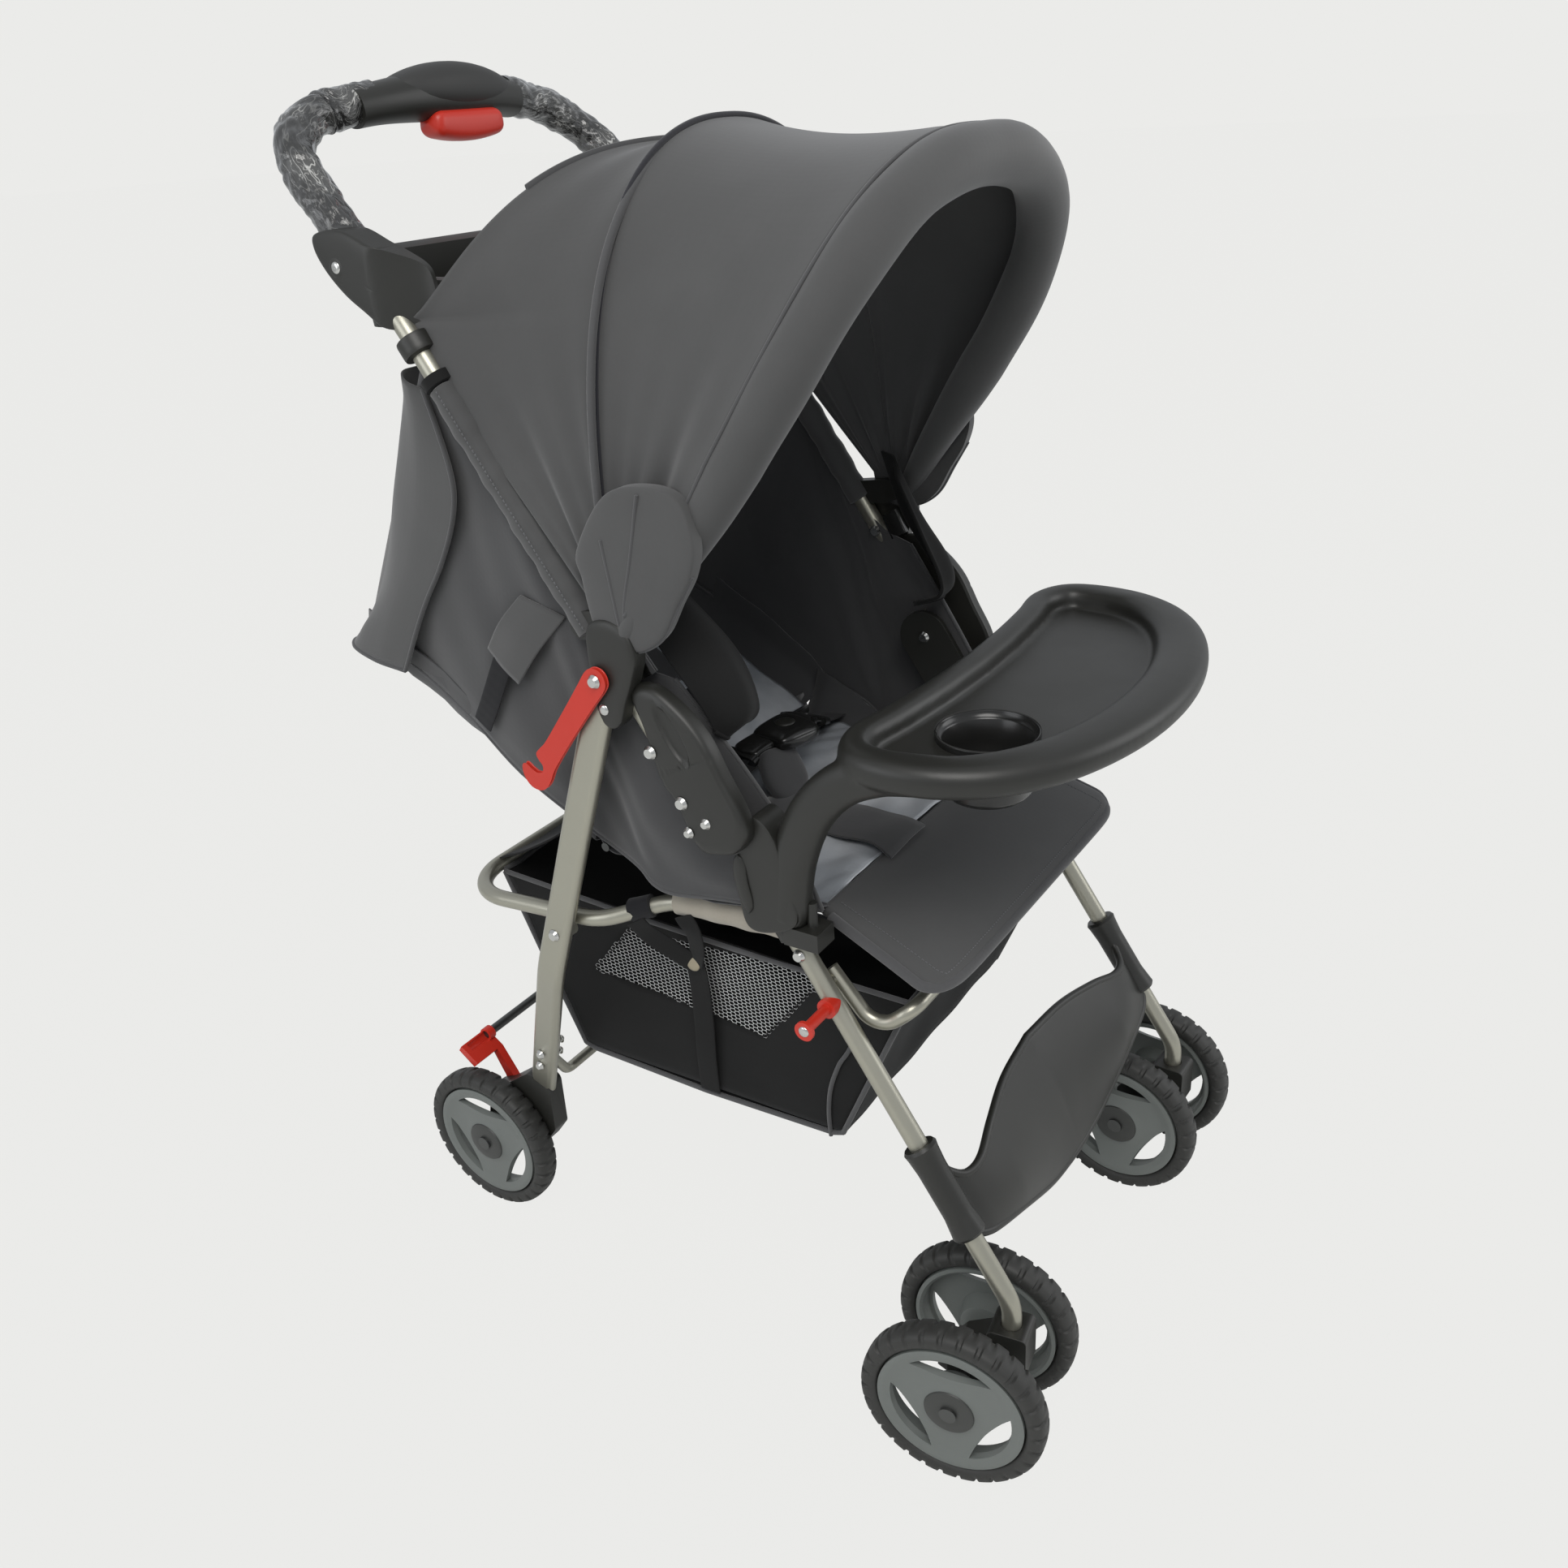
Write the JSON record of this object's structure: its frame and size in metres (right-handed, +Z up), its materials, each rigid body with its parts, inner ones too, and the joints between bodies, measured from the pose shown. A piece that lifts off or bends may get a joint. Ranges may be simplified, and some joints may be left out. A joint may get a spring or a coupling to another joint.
{
  "type": "baby stroller",
  "caption": "Folding baby stroller with a reclining fabric seat, hood, child and parent trays, storage basket and swivelling twin front wheels.",
  "frame": {"origin": "on the floor under the middle of the stroller", "axes": "+Z up, the seated child faces -Y, +X is the child's left"},
  "size_m": [0.5135, 0.7146, 1.0432],
  "materials": {
    "frame_silver": "satin",
    "steel_hardware": "satin",
    "black_plastic": "satin",
    "grip_foam": "matte",
    "red_plastic": "satin",
    "dark_bar": "satin",
    "charcoal_fabric": "matte",
    "black_fabric": "matte",
    "webbing": "matte",
    "tyre_black": "matte",
    "rim_grey": "satin"
  },
  "bodies": {
    "root": {"front_legs": "frame_silver", "hinge_bases": "black_plastic", "front_rivets": "steel_hardware", "footrest": "black_plastic", "basket_front_bar": "frame_silver", "latch_peg": "red_plastic", "castor_stems": "steel_hardware", "seat_base": "charcoal_fabric", "seat_flap": "charcoal_fabric", "waist_straps": "webbing", "buckle": "black_plastic", "basket": "black_fabric", "tray_sockets": "black_plastic"},
    "handle": {"handle_tube": "frame_silver", "hinge_covers": "black_plastic", "handle_rivets": "steel_hardware", "grips": "grip_foam", "grip_module_upper": "black_plastic", "grip_module_lower": "black_plastic", "parent_tray": "black_plastic", "canopy_clips": "black_plastic", "canopy_rear_panel": "charcoal_fabric", "side_panels": "charcoal_fabric", "rear_curtain": "charcoal_fabric"},
    "trigger": {"fold_trigger": "red_plastic"},
    "safety_slide": {"safety_slide": "red_plastic"},
    "canopy_mid": {"canopy_mid_bow": "steel_hardware"},
    "canopy_front": {"canopy_front_rim": "charcoal_fabric", "canopy_front_panel": "charcoal_fabric"},
    "rear_frame": {"rear_legs": "frame_silver", "leg_caps": "black_plastic", "rear_brace": "frame_silver", "rear_rivets": "steel_hardware", "rear_housings": "black_plastic", "rear_axles": "steel_hardware", "brake_pins": "steel_hardware"},
    "latch": {"latch_hook": "red_plastic"},
    "brake": {"brake_pedals": "red_plastic", "brake_bar": "dark_bar"},
    "seat_bar": {"seat_bar": "frame_silver"},
    "back_rod": {"back_hinge_rod": "steel_hardware"},
    "backrest": {"backrest": "charcoal_fabric", "shoulder_straps": "webbing"},
    "child_tray": {"child_tray": "black_plastic"},
    "castor_left": {"castor_housing_left": "black_plastic", "castor_axle_left": "steel_hardware"},
    "castor_right": {"castor_housing_right": "black_plastic", "castor_axle_right": "steel_hardware"},
    "wheel_front_left_outer": {"tyre_front_left_outer": "tyre_black", "rim_front_left_outer": "rim_grey"},
    "wheel_front_left_inner": {"tyre_front_left_inner": "tyre_black", "rim_front_left_inner": "rim_grey"},
    "wheel_rear_left": {"tyre_rear_left": "tyre_black", "rim_rear_left": "rim_grey"},
    "wheel_front_right_outer": {"tyre_front_right_outer": "tyre_black", "rim_front_right_outer": "rim_grey"},
    "wheel_front_right_inner": {"tyre_front_right_inner": "tyre_black", "rim_front_right_inner": "rim_grey"},
    "wheel_rear_right": {"tyre_rear_right": "tyre_black", "rim_rear_right": "rim_grey"}
  },
  "joints": [
    {"name": "fold", "type": "hinge", "parent": "root", "child": "handle", "pos_m": [0, -0.05, 0.54], "axis": [-1, 0, 0], "range_deg": [0, 151.5], "deforming": ["canopy_rear_panel", "side_panels", "rear_curtain", "basket"]},
    {"name": "rear_leg_fold", "type": "hinge", "parent": "handle", "child": "rear_frame", "pos_m": [0, 0.01177, 0.63005], "axis": [1, 0, 0], "range_deg": [0, 111.15]},
    {"name": "seat_bar_fold", "type": "hinge", "parent": "root", "child": "seat_bar", "pos_m": [0, -0.131, 0.41788], "axis": [-1, 0, 0], "range_deg": [0, 87.7]},
    {"name": "back_fold", "type": "hinge", "parent": "root", "child": "back_rod", "pos_m": [0, 0.078, 0.446], "axis": [-1, 0, 0], "range_deg": [0, 151.5]},
    {"name": "recline", "type": "hinge", "parent": "back_rod", "child": "backrest", "pos_m": [0, 0.078, 0.446], "axis": [1, 0, 0], "range_deg": [0, 35], "deforming": ["side_panels", "rear_curtain"]},
    {"name": "canopy_mid_fold", "type": "hinge", "parent": "handle", "child": "canopy_mid", "pos_m": [0, 0.002, 0.668], "axis": [-1, 0, 0], "range_deg": [0, 14], "deforming": ["canopy_rear_panel", "canopy_front_panel"]},
    {"name": "canopy_front_fold", "type": "hinge", "parent": "canopy_mid", "child": "canopy_front", "pos_m": [0, 0.002, 0.668], "axis": [-1, 0, 0], "range_deg": [0, 11.8], "deforming": ["canopy_front_panel"]},
    {"name": "tray_lift", "type": "slide", "parent": "root", "child": "child_tray", "axis": [0, 0, 1], "range_m": [0, 0.04]},
    {"name": "latch_swing", "type": "hinge", "parent": "rear_frame", "child": "latch", "pos_m": [-0.224, 0.01177, 0.63005], "axis": [1, 0, 0], "range_deg": [-50, 25]},
    {"name": "brake_press", "type": "hinge", "parent": "rear_frame", "child": "brake", "pos_m": [0, 0.254, 0.116], "axis": [-1, 0, 0], "range_deg": [0, 8]},
    {"name": "trigger_press", "type": "slide", "parent": "handle", "child": "trigger", "axis": [0, 0, 1], "range_m": [0, 0.005], "stiffness_N_per_m": 300},
    {"name": "safety_press", "type": "slide", "parent": "handle", "child": "safety_slide", "axis": [1, 0, 0], "range_m": [0, 0.005]},
    {"name": "castor_swivel_left", "type": "hinge", "parent": "root", "child": "castor_left", "pos_m": [0.19, -0.31, 0.1], "axis": [0, 0, 1], "continuous": true},
    {"name": "wheel_spin_front_left_outer", "type": "hinge", "parent": "castor_left", "child": "wheel_front_left_outer", "pos_m": [0.23662, -0.27861, 0.076], "axis": [0.9994, -0.0349, 0], "continuous": true},
    {"name": "wheel_spin_front_left_inner", "type": "hinge", "parent": "castor_left", "child": "wheel_front_left_inner", "pos_m": [0.14568, -0.27543, 0.076], "axis": [0.9994, -0.0349, 0], "continuous": true},
    {"name": "castor_swivel_right", "type": "hinge", "parent": "root", "child": "castor_right", "pos_m": [-0.19, -0.31, 0.1], "axis": [0, 0, 1], "continuous": true},
    {"name": "wheel_spin_front_right_outer", "type": "hinge", "parent": "castor_right", "child": "wheel_front_right_outer", "pos_m": [-0.23965, -0.28365, 0.076], "axis": [0.9903, 0.1392, 0], "continuous": true},
    {"name": "wheel_spin_front_right_inner", "type": "hinge", "parent": "castor_right", "child": "wheel_front_right_inner", "pos_m": [-0.14954, -0.27099, 0.076], "axis": [0.9903, 0.1392, 0], "continuous": true},
    {"name": "wheel_spin_rear_left", "type": "hinge", "parent": "rear_frame", "child": "wheel_rear_left", "pos_m": [0.181, 0.262, 0.076], "axis": [1, 0, 0], "continuous": true},
    {"name": "wheel_spin_rear_right", "type": "hinge", "parent": "rear_frame", "child": "wheel_rear_right", "pos_m": [-0.181, 0.262, 0.076], "axis": [1, 0, 0], "continuous": true}
  ],
  "couplings": [
    {"joint": "rear_leg_fold", "follows": "fold", "ratio": 0.73366},
    {"joint": "seat_bar_fold", "follows": "fold", "ratio": 0.57888},
    {"joint": "back_fold", "follows": "fold", "ratio": 1},
    {"joint": "canopy_front_fold", "follows": "canopy_mid_fold", "ratio": 0.84}
  ]
}
